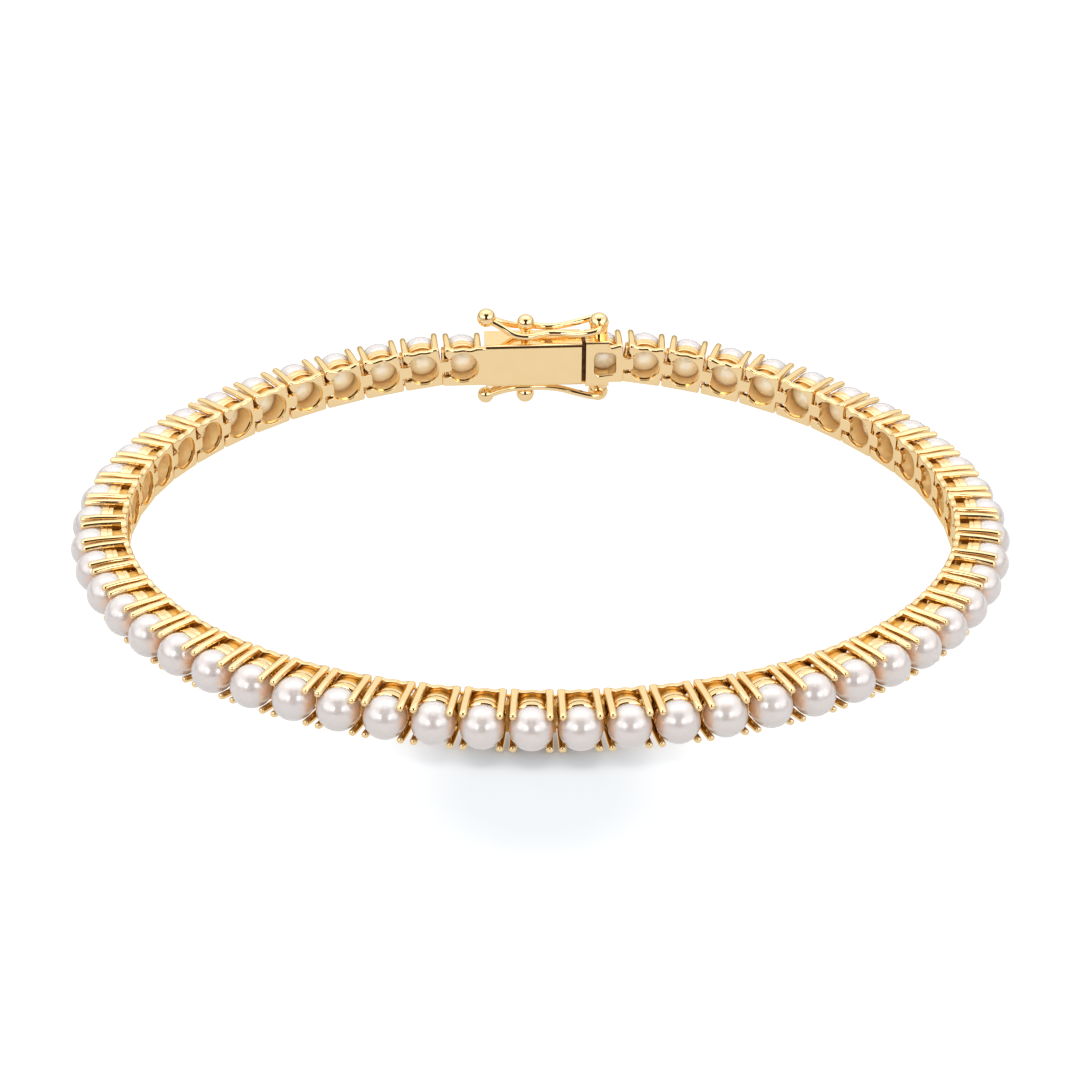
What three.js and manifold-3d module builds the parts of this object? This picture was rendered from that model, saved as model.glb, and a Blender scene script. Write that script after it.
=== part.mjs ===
// Pearl tennis bracelet: 54 round pearls in four-prong gold baskets, hinged plate to plate into a
// closed oval band, with a box clasp at the back and a figure-eight safety catch above and below it.
//
// Millimetres, +Z up. The clasp is at the back (+Y), and +X is to the right seen from the front.
// The band lies on the ground plane. Its links rest on their lower prongs, and the last ones
// climb to the clasp, which is taller and stands on its lower catch.
//
// Each link has its own frame: x along the band, clockwise seen from above, y outwards from the
// inner face of its base plate, and z up from its middle height.

import * as THREE from 'three';
import { mergeVertices } from 'three/addons/utils/BufferGeometryUtils.js';
import Module from 'manifold-3d';

// ---------------------------------------------------------------- driving dimensions

const pearlCount = 54;
const pitch = 3.15;                 // from one hinge to the next
const pearlDiameter = 3.0;
const pearlDepth = 2.6;             // pearl centre, outwards from the plate's inner face

const meanRadius = 27.97;           // of the hinge line, seen from above
const ovalShape = [                 // how the radius varies with the angle from the clasp
  { wave: 1, even: -0.0519, odd: 0.03 },
  { wave: 2, even: -0.1051, odd: 0.0036 },
  { wave: 3, even: -0.0168, odd: -0.0081 },
  { wave: 4, even: -0.011, odd: -0.0021 },
  { wave: 5, even: -0.0059, odd: -0.0009 },
  { wave: 6, even: -0.0021, odd: 0 },
];
const hingeDepth = 0.3;             // hinge line, outwards from the plates' inner faces

const plate = { width: 2.8, height: 3.26, thickness: 0.4, hole: 1.2 };
const tongue = { height: 0.9, reach: 0.45, inset: 0.04, slot: 1.1, slotEnd: -0.9 };
const prong = { radius: 0.27, root: 0.2, length: 3.3, x: 1.12, z: 1.35 };
const seat = { outer: 1.46, corner: 1.66, bore: 1.1, back: 1.0, front: 1.9 };

const box = { halfWidth: 3.8, halfHeight: 1.8, depth: 2.9, bevel: 0.2 };
const cavity = { closedEnd: -3.0, halfHeight: 1.25, front: 0.5, back: 2.4 };
const endBlock = { left: 4.15, right: 5.95, halfHeight: 1.95, depth: 2.5 };
const endWindow = { width: 1.7, height: 1.9, corner: 0.4, centreX: 5.6 };
const clampTongue = { tip: -2.4, halfHeight: 0.9, front: 0.9, back: 2.0 };
const lug = { x: 5.22, z: 2.9, halfWidth: 0.72, shoulder: 2.8, top: 3.44, front: 0.6, back: 2.4, bore: 0.42 };
const stud = { x: -0.59, z: 3.1, ball: 0.66, post: 0.34 };
const wire = { radius: 0.22, sides: 6, stations: 36, midDepth: 1.5 };
const upperThumb = { x: -3.7, z: 3.6, radius: 0.72 };
const lowerThumb = { x: -3.74, z: 3.14, radius: 0.64 };

const bite = 0.2;                   // how far a soldered piece reaches into its neighbour
const beyond = 0.1;                 // how far a cutter passes the surface that it opens
const pearlClearance = 0.08;
const rowLinks = 13;                // links in each joined stretch of the band
const climbEnd = 31;                // along the band from the clasp's middle, where it lies level

const gold = new THREE.MeshStandardMaterial({ color: 0xe8c178, roughness: 0.15, metalness: 1 });
const nacre = new THREE.MeshStandardMaterial({ color: 0xf3ece9, roughness: 0.2, metalness: 0 });

// ---------------------------------------------------------------- solids

const wasm = await Module();
wasm.setup();

function toSolid(geometry) {
  const bare = geometry.clone();
  for (const name of Object.keys(bare.attributes)) {
    if (name !== 'position') bare.deleteAttribute(name);
  }
  const merged = mergeVertices(bare, 1e-5);
  return new wasm.Manifold(new wasm.Mesh({
    numProp: 3,
    vertProperties: new Float32Array(merged.attributes.position.array),
    triVerts: new Uint32Array(merged.index.array),
  }));
}

function toGeometry(solid) {
  const mesh = solid.getMesh();
  const geometry = new THREE.BufferGeometry();
  geometry.setAttribute('position', new THREE.BufferAttribute(new Float32Array(mesh.vertProperties), 3));
  geometry.setIndex(new THREE.BufferAttribute(new Uint32Array(mesh.triVerts), 1));
  return geometry;
}

function joined(geometries) {
  return geometries.map(toSolid).reduce((sum, solid) => sum.add(solid));
}

function cut(solid, geometries) {
  return geometries.map(toSolid).reduce((rest, solidToCut) => rest.subtract(solidToCut), solid);
}

function block(x0, x1, y0, y1, z0, z1) {
  return new THREE.BoxGeometry(x1 - x0, y1 - y0, z1 - z0)
    .translate((x0 + x1) / 2, (y0 + y1) / 2, (z0 + z1) / 2);
}

// A flat outline in x and z, given thickness from y0 to y1.
function slab(shape, y0, y1, curveSegments = 4) {
  const geometry = new THREE.ExtrudeGeometry(shape, { depth: y1 - y0, bevelEnabled: false, curveSegments });
  return geometry.rotateX(Math.PI / 2).translate(0, y1, 0);
}

function rectangle(width, height) {
  const w = width / 2;
  const h = height / 2;
  return new THREE.Shape([
    new THREE.Vector2(-w, -h), new THREE.Vector2(w, -h), new THREE.Vector2(w, h), new THREE.Vector2(-w, h),
  ]);
}

function clippedRectangle(width, height, corner) {
  const w = width / 2;
  const h = height / 2;
  return new THREE.Shape([
    new THREE.Vector2(-w + corner, -h), new THREE.Vector2(w - corner, -h),
    new THREE.Vector2(w, -h + corner), new THREE.Vector2(w, h - corner),
    new THREE.Vector2(w - corner, h), new THREE.Vector2(-w + corner, h),
    new THREE.Vector2(-w, h - corner), new THREE.Vector2(-w, -h + corner),
  ]);
}

// A round bar along y.
function yCylinder(radius, y0, y1, x, z, sides) {
  return new THREE.CylinderGeometry(radius, radius, y1 - y0, sides).translate(x, (y0 + y1) / 2, z);
}

// A closed ring of facets: each section lists its corners in turn, and the last joins the first.
function lofted(sections, closed) {
  const sides = sections[0].length;
  const positions = sections.flat().flatMap((corner) => [corner.x, corner.y, corner.z]);
  const index = [];
  const bands = closed ? sections.length : sections.length - 1;
  for (let i = 0; i < bands; i += 1) {
    const from = i * sides;
    const to = ((i + 1) % sections.length) * sides;
    for (let k = 0; k < sides; k += 1) {
      const l = (k + 1) % sides;
      index.push(from + k, from + l, to + k, from + l, to + l, to + k);
    }
  }
  const geometry = new THREE.BufferGeometry();
  geometry.setAttribute('position', new THREE.BufferAttribute(new Float32Array(positions), 3));
  geometry.setIndex(index);
  return geometry;
}

// ---------------------------------------------------------------- the band's line

const steps = 3600;
const line = [];
for (let i = 0; i <= steps; i += 1) {
  const angle = (2 * Math.PI * i) / steps;
  const share = ovalShape.reduce((sum, row) => (
    sum + row.even * Math.cos(row.wave * angle) + row.odd * Math.sin(row.wave * angle)), 1);
  const radius = meanRadius * share;
  const x = -radius * Math.sin(angle);
  const y = radius * Math.cos(angle);
  const run = i === 0 ? 0 : line[i - 1].run + Math.hypot(x - line[i - 1].x, y - line[i - 1].y);
  line.push({ x, y, run });
}
const bandLength = line[steps].run;
const firstPearlRun = (bandLength - (pearlCount - 1) * pitch) / 2;
const climbStart = firstPearlRun + pitch / 2;
const linkHalfHeight = plate.height / 2;
const claspHalfHeight = lowerThumb.z + lowerThumb.radius;
const climb = claspHalfHeight - linkHalfHeight;

function pointAt(run) {
  const wrapped = ((run % bandLength) + bandLength) % bandLength;
  let i = 1;
  while (line[i].run < wrapped) i += 1;
  const t = (wrapped - line[i - 1].run) / (line[i].run - line[i - 1].run);
  return new THREE.Vector3(
    THREE.MathUtils.lerp(line[i - 1].x, line[i].x, t),
    THREE.MathUtils.lerp(line[i - 1].y, line[i].y, t),
    riseAt(Math.min(wrapped, bandLength - wrapped)),
  );
}

// Height of the band's middle above the ground: level round the band, and climbing to the clasp.
function riseAt(distance) {
  const t = THREE.MathUtils.clamp((distance - climbStart) / (climbEnd - climbStart), 0, 1);
  return linkHalfHeight + climb * (1 - Math.sin((Math.PI / 2) * t));
}

// The clasp's own frame, with its inner face at y = 0.
const claspFrame = new THREE.Matrix4().setPosition(0, line[0].y - hingeDepth, riseAt(0));

// Frame of link number 1 to 54, counted from the clasp's left end round the front.
function linkFrame(number) {
  const side = number === 1 ? -1 : 1;
  if (number === 1 || number === pearlCount) {
    return claspFrame.clone().multiply(new THREE.Matrix4().setPosition(side * firstPearlRun, 0, 0));
  }
  const run = firstPearlRun + (number - 1) * pitch;
  const here = pointAt(run);
  const chord = 0.2;
  const along = pointAt(run - chord).sub(pointAt(run + chord)).normalize();
  const outward = new THREE.Vector3(0, 0, 1).cross(along).normalize();
  const up = new THREE.Vector3().crossVectors(along, outward);
  const frame = new THREE.Matrix4().makeBasis(along, outward, up).setPosition(here);
  return frame.multiply(new THREE.Matrix4().setPosition(0, -hingeDepth, 0));
}

// ---------------------------------------------------------------- one link

function basePlate() {
  const outline = rectangle(plate.width, plate.height);
  const hole = new THREE.Path().absarc(0, 0, plate.hole, 0, 2 * Math.PI, true);
  outline.holes.push(hole);
  return slab(outline, 0, plate.thickness, 4);
}

// Four-sided bars, with a flat towards the pearl.
function prongBars() {
  return [[1, 1], [1, -1], [-1, 1], [-1, -1]].map(([signX, signZ]) => (
    yCylinder(prong.radius, prong.root, prong.length, signX * prong.x, signZ * prong.z, 4)));
}

// The ring that the pearl sits on, soldered inside the four prongs: its outline has corners that
// reach them, and its bore widens towards the pearl.
function seatRing() {
  const corners = 8;
  const ring = (radiusAt, y) => Array.from({ length: corners }, (_, k) => {
    const angle = (2 * Math.PI * k) / corners;
    const radius = radiusAt(k);
    return new THREE.Vector3(radius * Math.cos(angle), y, radius * Math.sin(angle));
  });
  const outline = (k) => (k % 2 ? seat.corner : seat.outer);
  return lofted([
    ring(() => seat.bore, seat.back),
    ring(outline, seat.front),
    ring(outline, seat.back),
  ], true);
}

// The tongue that reaches into the next plate's slot.
function linkTongue(reach) {
  return block(plate.width / 2 - bite, plate.width / 2 + reach,
    tongue.inset, plate.thickness - tongue.inset, -tongue.height / 2, tongue.height / 2);
}

function tongueSlot() {
  return block(-plate.width / 2 - beyond, tongue.slotEnd,
    -beyond, plate.thickness + beyond, -tongue.slot / 2, tongue.slot / 2);
}

function linkSolid({ slot, reach }) {
  const body = joined([basePlate(), ...prongBars(), seatRing(), linkTongue(reach)]);
  return toGeometry(slot ? cut(body, [tongueSlot()]) : body);
}

// Inside a stretch each tongue is joined to the next plate. At the stretch's ends it lies free
// in a slot.
const fusedReach = pitch - plate.width + bite / 2;
const linkKinds = {
  inner: linkSolid({ slot: false, reach: fusedReach }),
  slotted: linkSolid({ slot: true, reach: fusedReach }),
  free: linkSolid({ slot: false, reach: tongue.reach }),
};

// ---------------------------------------------------------------- stretches of links and pearls

function stretchOfLinks(first, last) {
  const links = [];
  for (let number = first; number <= last; number += 1) {
    let kind = linkKinds.inner;
    if (number === first) kind = linkKinds.free;
    if (number === last) kind = linkKinds.slotted;
    links.push(kind.clone().applyMatrix4(linkFrame(number)));
  }
  return joined(links);
}

// Pearls on their thread: rings of facets about the band's direction, from where the thread
// enters each pearl to where it leaves.
const pearlSides = 8;
const pearlRings = 5;
const threadAngle = THREE.MathUtils.degToRad(12);

function pearlSections(number) {
  const frame = linkFrame(number);
  const radius = pearlDiameter / 2;
  return Array.from({ length: pearlRings }, (_, i) => {
    const polar = threadAngle + ((Math.PI - 2 * threadAngle) * i) / (pearlRings - 1);
    return Array.from({ length: pearlSides }, (__, k) => {
      const angle = (-2 * Math.PI * k) / pearlSides;
      return new THREE.Vector3(
        radius * Math.cos(polar),
        pearlDepth + radius * Math.sin(polar) * Math.cos(angle),
        radius * Math.sin(polar) * Math.sin(angle),
      ).applyMatrix4(frame);
    });
  });
}

// A section shrunk to its middle closes the string's end.
function endPoint(section, number, side) {
  const tip = new THREE.Vector3((side * pearlDiameter) / 2, pearlDepth, 0).applyMatrix4(linkFrame(number));
  return section.map(() => tip);
}

function stretchOfPearls(first, last) {
  const sections = [];
  for (let number = first; number <= last; number += 1) sections.push(...pearlSections(number));
  sections.unshift(endPoint(sections[0], first, 1));
  sections.push(endPoint(sections[0], last, -1));
  return withoutSlivers(lofted(sections, false));
}

// The same surface with its shared corners merged and its collapsed facets left out.
function withoutSlivers(geometry) {
  const merged = mergeVertices(geometry, 1e-5);
  const old = merged.index.array;
  const kept = [];
  for (let i = 0; i < old.length; i += 3) {
    const [a, b, c] = [old[i], old[i + 1], old[i + 2]];
    if (a !== b && b !== c && c !== a) kept.push(a, b, c);
  }
  merged.setIndex(kept);
  return merged;
}

// ---------------------------------------------------------------- clasp

function placed(solid, matrix) {
  return toGeometry(solid).applyMatrix4(matrix);
}

function bevelledBox(halfWidth, halfHeight, depth, bevel) {
  const shape = clippedRectangle(depth, 2 * halfHeight, bevel);
  const turn = new THREE.Matrix4().makeBasis(
    new THREE.Vector3(0, 1, 0), new THREE.Vector3(0, 0, 1), new THREE.Vector3(1, 0, 0));
  return new THREE.ExtrudeGeometry(shape, { depth: 2 * halfWidth, bevelEnabled: false })
    .applyMatrix4(turn)
    .translate(-halfWidth, depth / 2, 0);
}

// Ball on a post, which the catch's loop closes around.
function catchStud(sign) {
  const foot = box.halfHeight - bite;
  const post = new THREE.CylinderGeometry(stud.post, stud.post, stud.z - foot, 8)
    .rotateX(Math.PI / 2)
    .translate(stud.x, wire.midDepth, (sign * (stud.z + foot)) / 2);
  const ball = new THREE.SphereGeometry(stud.ball, 10, 8).translate(stud.x, wire.midDepth, sign * stud.z);
  return [post, ball];
}

function firstSetting() {
  const shift = -firstPearlRun;
  const bridge = block(shift + plate.width / 2 - bite, -box.halfWidth + bite, 0, plate.thickness,
    -plate.height / 2, plate.height / 2);
  const pieces = [basePlate(), ...prongBars(), seatRing()].map((piece) => piece.translate(shift, 0, 0));
  return [...pieces, bridge];
}

function claspBox() {
  const body = joined([
    bevelledBox(box.halfWidth, box.halfHeight, box.depth, box.bevel),
    ...firstSetting(), ...catchStud(1), ...catchStud(-1),
  ]);
  return cut(body, [
    block(cavity.closedEnd, box.halfWidth + beyond, cavity.front, cavity.back,
      -cavity.halfHeight, cavity.halfHeight),
    tongueSlot().translate(-firstPearlRun, 0, 0),
  ]);
}

function catchLug(sign) {
  const outline = new THREE.Shape();
  const base = endBlock.halfHeight - bite;
  outline.moveTo(lug.x - lug.halfWidth, base);
  outline.lineTo(lug.x + lug.halfWidth, base);
  outline.lineTo(lug.x + lug.halfWidth, lug.shoulder);
  outline.absellipse(lug.x, lug.shoulder, lug.halfWidth, lug.top - lug.shoulder, 0, Math.PI, false);
  outline.lineTo(lug.x - lug.halfWidth, base);
  const geometry = slab(outline, lug.front, lug.back, 5);
  return sign > 0 ? geometry : mirroredDown(geometry);
}

// The slab mirrored in the band's middle plane.
function mirroredDown(geometry) {
  const mirrored = geometry.index ? geometry.toNonIndexed() : geometry.clone();
  const position = mirrored.attributes.position;
  for (let i = 0; i < position.count; i += 3) {
    const corners = [0, 2, 1].map((k) => new THREE.Vector3().fromBufferAttribute(position, i + k));
    corners.forEach((corner, k) => position.setXYZ(i + k, corner.x, corner.y, -corner.z));
  }
  return mirrored;
}

function endWindowCutter() {
  const shape = clippedRectangle(endWindow.width, endWindow.height, endWindow.corner);
  return slab(shape, -beyond, endBlock.depth + beyond).translate(endWindow.centreX, 0, 0);
}

function claspEnd() {
  const shift = firstPearlRun;
  const backPlate = slab(rectangle(plate.width, plate.height), 0, plate.thickness)
    .translate(shift, 0, 0);
  const rest = [...prongBars(), seatRing(), linkTongue(tongue.reach)]
    .map((piece) => piece.translate(shift, 0, 0));
  const body = joined([
    block(endBlock.left, endBlock.right, 0, endBlock.depth, -endBlock.halfHeight, endBlock.halfHeight),
    backPlate, ...rest, catchLug(1), catchLug(-1),
    block(clampTongue.tip, endBlock.left + bite, clampTongue.front, clampTongue.back,
      -clampTongue.halfHeight, clampTongue.halfHeight),
  ]);
  const pearlRoom = new THREE.SphereGeometry(pearlDiameter / 2 + pearlClearance, 14, 10)
    .rotateX(Math.PI / 2)
    .translate(shift, pearlDepth, 0);
  return cut(body, [
    endWindowCutter(), pearlRoom,
    yCylinder(lug.bore, 0, box.depth, lug.x, lug.z, 12),
    yCylinder(lug.bore, 0, box.depth, lug.x, -lug.z, 12),
  ]);
}

// ---------------------------------------------------------------- figure-eight catches

// Half of a catch's loop, from the bore in its lug to its thumb end: side is the distance of the
// wire from the catch's middle plane, and z its distance from the band's middle plane. Past the
// stud it climbs to the thumb end.
function catchLine(thumb) {
  const foot = 2.5;
  const climbTo = (share) => THREE.MathUtils.lerp(foot, thumb.z, share);
  return [
    { x: lug.x, side: 0.0, z: lug.z },
    { x: lug.x, side: 0.75, z: lug.z },
    { x: 5.1, side: 1.2, z: 2.9 },
    { x: 4.6, side: 1.3, z: 2.87 },
    { x: 3.4, side: 1.1, z: 2.77 },
    { x: 2.2, side: 0.72, z: 2.62 },
    { x: 1.2, side: 0.6, z: 2.5 },
    { x: 0.4, side: 0.85, z: 2.43 },
    { x: -0.5, side: 1.1, z: 2.42 },
    { x: -1.5, side: 0.95, z: foot },
    { x: -2.5, side: 0.5, z: climbTo(0.44) },
    { x: -3.4, side: 0.16, z: climbTo(0.86) },
  ];
}

function catchLoop(sign, thumb) {
  const half = catchLine(thumb);
  const near = half.map((p) => new THREE.Vector3(p.x, wire.midDepth - p.side, sign * p.z));
  const far = half.slice(1).reverse()
    .map((p) => new THREE.Vector3(p.x, wire.midDepth + p.side, sign * p.z));
  return new THREE.CatmullRomCurve3([...near, ...far], true, 'centripetal');
}

// A round wire along a closed curve.
function closedWire(curve) {
  const points = curve.getSpacedPoints(wire.stations).slice(0, wire.stations);
  const sections = points.map((point, i) => {
    const next = points[(i + 1) % wire.stations];
    const previous = points[(i + wire.stations - 1) % wire.stations];
    const tangent = next.clone().sub(previous).normalize();
    const side = new THREE.Vector3(0, 0, 1).cross(tangent).normalize();
    const up = new THREE.Vector3().crossVectors(tangent, side);
    return Array.from({ length: wire.sides }, (_, k) => {
      const angle = (2 * Math.PI * k) / wire.sides;
      return point.clone()
        .addScaledVector(side, wire.radius * Math.cos(angle))
        .addScaledVector(up, wire.radius * Math.sin(angle));
    });
  });
  return lofted(sections, true);
}

function safetyCatch(sign, thumb) {
  const end = new THREE.SphereGeometry(thumb.radius, 10, 7).translate(thumb.x, wire.midDepth, sign * thumb.z);
  return joined([closedWire(catchLoop(sign, thumb)), end]);
}

// ---------------------------------------------------------------- the bracelet

const group = new THREE.Group();

function addPiece(name, geometry, material) {
  const mesh = new THREE.Mesh(geometry, material);
  mesh.name = name;
  group.add(mesh);
}

const stretches = ['left_back', 'left_front', 'right_front', 'right_back'];
stretches.forEach((place, i) => {
  const first = 2 + i * rowLinks;
  const last = first + rowLinks - 1;
  addPiece(`links_${place}`, toGeometry(stretchOfLinks(first, last)), gold);
  addPiece(`pearls_${place}`, stretchOfPearls(first, last), nacre);
});
addPiece('pearl_by_box', stretchOfPearls(1, 1), nacre);
addPiece('pearl_by_clasp_end', stretchOfPearls(pearlCount, pearlCount), nacre);
addPiece('clasp_box', placed(claspBox(), claspFrame), gold);
addPiece('clasp_end', placed(claspEnd(), claspFrame), gold);
addPiece('catch_top', placed(safetyCatch(1, upperThumb), claspFrame), gold);
addPiece('catch_bottom', placed(safetyCatch(-1, lowerThumb), claspFrame), gold);

// The bracelet lies on z = 0, with the middle of its bounding box over the origin.
const bounds = new THREE.Box3().setFromObject(group, true);
const middle = bounds.getCenter(new THREE.Vector3());
group.position.set(-middle.x, -middle.y, -bounds.min.z);
group.updateMatrixWorld(true);

export default group;
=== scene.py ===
"""Pearl tennis bracelet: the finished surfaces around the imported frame.

Shapes are made in millimetres and placed in metres. A setting has its own frame, as in the CAD
model: x along the band, clockwise seen from above, y outwards from the plate's inner face, and z
up from the plate's middle.
"""

import math

import bmesh
import bpy
import numpy as np
from mathutils import Matrix, Vector
from mathutils.geometry import tessellate_polygon


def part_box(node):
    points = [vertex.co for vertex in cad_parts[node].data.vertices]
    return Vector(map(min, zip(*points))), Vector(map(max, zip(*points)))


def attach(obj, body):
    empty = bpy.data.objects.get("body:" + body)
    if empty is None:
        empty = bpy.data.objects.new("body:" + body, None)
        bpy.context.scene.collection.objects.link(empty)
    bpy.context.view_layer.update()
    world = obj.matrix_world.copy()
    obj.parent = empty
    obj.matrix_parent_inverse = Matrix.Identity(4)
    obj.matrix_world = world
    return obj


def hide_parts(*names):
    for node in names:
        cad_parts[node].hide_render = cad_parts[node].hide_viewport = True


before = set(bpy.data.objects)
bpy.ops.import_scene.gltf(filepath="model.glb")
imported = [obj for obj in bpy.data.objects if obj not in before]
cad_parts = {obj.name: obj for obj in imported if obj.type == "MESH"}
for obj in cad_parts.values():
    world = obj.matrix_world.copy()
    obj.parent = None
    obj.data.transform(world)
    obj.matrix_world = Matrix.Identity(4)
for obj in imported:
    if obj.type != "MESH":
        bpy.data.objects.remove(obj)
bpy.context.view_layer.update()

MM = 0.001

# ---------------------------------------------------------------- sizes, in millimetres

PEARL_COUNT = 54
ROW_LINKS = 13
PITCH = 3.15
PEARL_RADIUS = 1.525
PEARL_DEPTH = 2.67

MEAN_RADIUS = 27.97
OVAL_SHAPE = [  # how the radius varies round the band: wave, even share, odd share
    (1, -0.0519, 0.03),
    (2, -0.1051, 0.0036),
    (3, -0.0168, -0.0081),
    (4, -0.011, -0.0021),
    (5, -0.0059, -0.0009),
    (6, -0.0021, 0.0),
]
HINGE_DEPTH = 0.3
CLIMB = 2.15  # how far the clasp lies above the band
CLIMB_END = 31.0  # the run from the clasp at which the band is level

PLATE_HALF_WIDTH = 1.455
PLATE_HALF_HEIGHT = 1.625
PLATE_THICKNESS = 0.46
PLATE_CORNER = 0.17
FLUSH = 0.003  # keeps the first plate's face just behind the clasp box's
HOLE_RADIUS = 1.25
EDGE_RADIUS = 0.06
RIM_RADIUS, RIM_START, RIM_END = 0.18, 1.3, 1.5
EDGE_WAVE = {"half_width": 1.15, "middle": 0.07, "sides": 0.09}  # dips of a plate's top edge
LOBE_SETBACK = 0.17  # of the left edge above the slot
FOOT_REACH = 0.13  # of the left edge below the slot
SLOT_CORNERS = 0.46, 0.12  # above and below
SLOT_TOP, SLOT_BOTTOM = 0.6, -0.8
TONGUE_TOP, TONGUE_BOTTOM = 0.46, -0.52
TONGUE_END = 2.265
TONGUE_CORNER = 0.2
CAD_TONGUE_END = 1.85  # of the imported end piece, by which the clasp is placed

PRONG_ROOT_X, PRONG_TIP_X = 1.17, 1.255
PRONG_END = 3.44
PRONG_ROOT, PRONG_BEAD = 0.24, 0.235  # lengths of its rounded ends
PRONG_HALF_WIDTH, PRONG_NARROWING = 0.285, 0.03
PRONG_HALF_HEIGHT, PRONG_THINNING = 0.25, 0.02
PRONG_LIFT = 0.005
PRONG_BEND, BEND_START, BEND_RUN = 0.16, 1.5, 1.9
BLUNTNESS = 2.8  # of the bead's outline, where 2 is round
PIN = {"x": -1.575, "depth": 0.42, "radius": 0.1, "half_height": 1.25, "bead": 0.15}
PIN_BEADS = (-1.2, -0.66, 0.6, 1.2)

# The tube behind a pearl, as radius and depth: a groove, two tiers, a rolled lip and the bore.
TUBE_PROFILE = [
    (1.17, 0.3),
    (1.25, 0.3),
    (1.25, 1.12),
    (1.42, 1.13),
    (1.445, 1.16),
    (1.45, 1.2),
    (1.45, 1.42),
    (1.43, 1.44),
    (1.42, 1.46),
    (1.43, 1.48),
    (1.465, 1.49),
    (1.48, 1.53),
    (1.49, 1.88),
    (1.488, 1.91),
    (1.475, 1.94),
    (1.45, 1.96),
    (1.395, 1.99),
    (1.36, 1.98),
    (1.29, 1.85),
    (HOLE_RADIUS, 1.75),
    (HOLE_RADIUS, 1.5),
    (1.17, 1.35),
]
GROOVE_STRIP = 1  # the groove's floor, counted in strips between the profile's points
FIRST_CAST_STRIP = 17  # the first of the strips inside the tube

BOX_HALF_WIDTH = 3.8
BOX_HALF_HEIGHT = 1.8
BOX_DEPTH = 2.9
BOX_RIM = 0.04, 0.3  # radii at its right side, and above and below
STUD = {"x": -0.59, "z": 3.08, "ball": 0.7, "post": 0.36, "sunk": 0.2}
BLOCK = {"left": 4.08, "right": 5.95, "half_height": 1.95, "frame_depth": 1.0, "depth": 2.5}
BLOCK_RIM = 0.05, 0.2  # radii at its sides, and above and below
WINDOW = {"x": 5.64, "half_width": 0.86, "half_height": 0.95, "corner": 0.42}
LUG = {"x": 5.22, "z": 3.0, "ball": 0.78, "radius": 0.68, "bore": 2.9}
LUG_COLLAR = [  # radius and distance from the lug's middle
    (0.27, 0.5),
    (0.3, 0.76),
    (0.38, 0.8),
    (0.45, 0.76),
    (0.47, 0.68),
    (0.47, 0.2),
    (0.27, 0.2),
]
SUNK = 0.3  # how far the lugs' feet and the plate beside the box go into the clasp
OVERLAP = 0.05  # of solids that meet face to face
SEAT_GAP = 0.05  # between the last pearl and the block's cheeks
WIRE_RADIUS = 0.26
CATCH_DEPTH = 1.5  # of the catches' middle plane, with their studs and lugs
UPPER_THUMB = {"x": -3.7, "z": 3.6, "radius": 0.74}
LOWER_THUMB = {"x": -3.74, "z": 3.14, "radius": 0.64}

# Plain blocks in the joints, each as its limits in x, y and z.
BEARER = (PIN["x"] - 0.1, PIN["x"] + 0.1, 0.5, 1.5, -1.0, 1.15)
BOX_CAVITY = (-3.0, BOX_HALF_WIDTH + 0.1, 0.5, 2.4, -1.25, 1.25)
CLASP_TONGUE = (-2.4, BLOCK["left"] + 0.2, 0.9, 2.0, -0.9, 0.9)
CLASP_COLLAR = (BOX_HALF_WIDTH + 0.02, BLOCK["left"] + 0.1, 0.8, 2.3, -1.8, 1.72)

# Half of each catch's wire, from the bore in its lug to its thumb end: x, distance to either side
# of the catch's middle plane, and distance above or below the band's middle.
UPPER_LINE = [
    (5.22, 0.0, 2.9),
    (5.22, 0.75, 2.9),
    (5.1, 1.2, 2.87),
    (4.6, 1.3, 2.72),
    (3.4, 1.1, 2.5),
    (2.2, 0.72, 2.44),
    (1.2, 0.6, 2.42),
    (0.4, 0.85, 2.4),
    (-0.5, 1.1, 2.36),
    (-1.5, 0.95, 2.48),
    (-2.5, 0.5, 2.96),
    (-3.4, 0.16, 3.42),
]
LOWER_LINE = [
    (5.22, 0.0, 2.9),
    (5.22, 0.75, 2.9),
    (5.1, 1.2, 2.9),
    (4.6, 1.3, 2.84),
    (3.4, 1.1, 2.6),
    (2.2, 0.75, 2.4),
    (1.2, 0.66, 2.28),
    (0.4, 0.7, 2.2),
    (-0.5, 0.78, 2.18),
    (-1.5, 0.72, 2.26),
    (-2.5, 0.45, 2.6),
    (-3.4, 0.16, 3.02),
]

# ---------------------------------------------------------------- looks, in metres and degrees

CREASE = 38  # the bend from which an edge is sharp

PEARL_VARIATION = 0.006  # of a pearl's three diameters, as a share
# Painted light in the pearls' colour: a warm gold reflection at the sides and below, light at the
# back.
PAINTED_SIDE_REFLECTION = (1.3, 0.88, 0.54)
PAINTED_BACK_LIGHT = (2.12, 1.86, 1.42)
PAINTED_REFLECTION_BELOW = 0.55  # how much of the painted side reflection a pearl has below
# Where the painted reflection and the painted back light set in and where they are full, in shares
# of the radius.
PAINTED_SIDE_REFLECTION_START, PAINTED_SIDE_REFLECTION_FULL = 0.72, 0.97
PAINTED_REFLECTION_BELOW_START, PAINTED_REFLECTION_BELOW_FULL = 0.6, 1.0
PAINTED_BACK_LIGHT_START, PAINTED_BACK_LIGHT_FULL = 0.3, 0.7

# Places in the list of golds that each gold piece has, where the polished one is first.
# The last two golds are painted dark as shade: in the clasp's joint and in the grooves.
CAST, JOINT_SHADE, GROOVE_SHADE = 1, 2, 3

CAMERA_LENS = 127.92
CAMERA_AIM = Vector((-0.00089, -0.00963, 0.00665))
CAMERA_DISTANCE = 0.2717
CAMERA_AZIMUTH, CAMERA_ELEVATION, CAMERA_ROLL = -4.185, 28.554, 0.52

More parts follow.
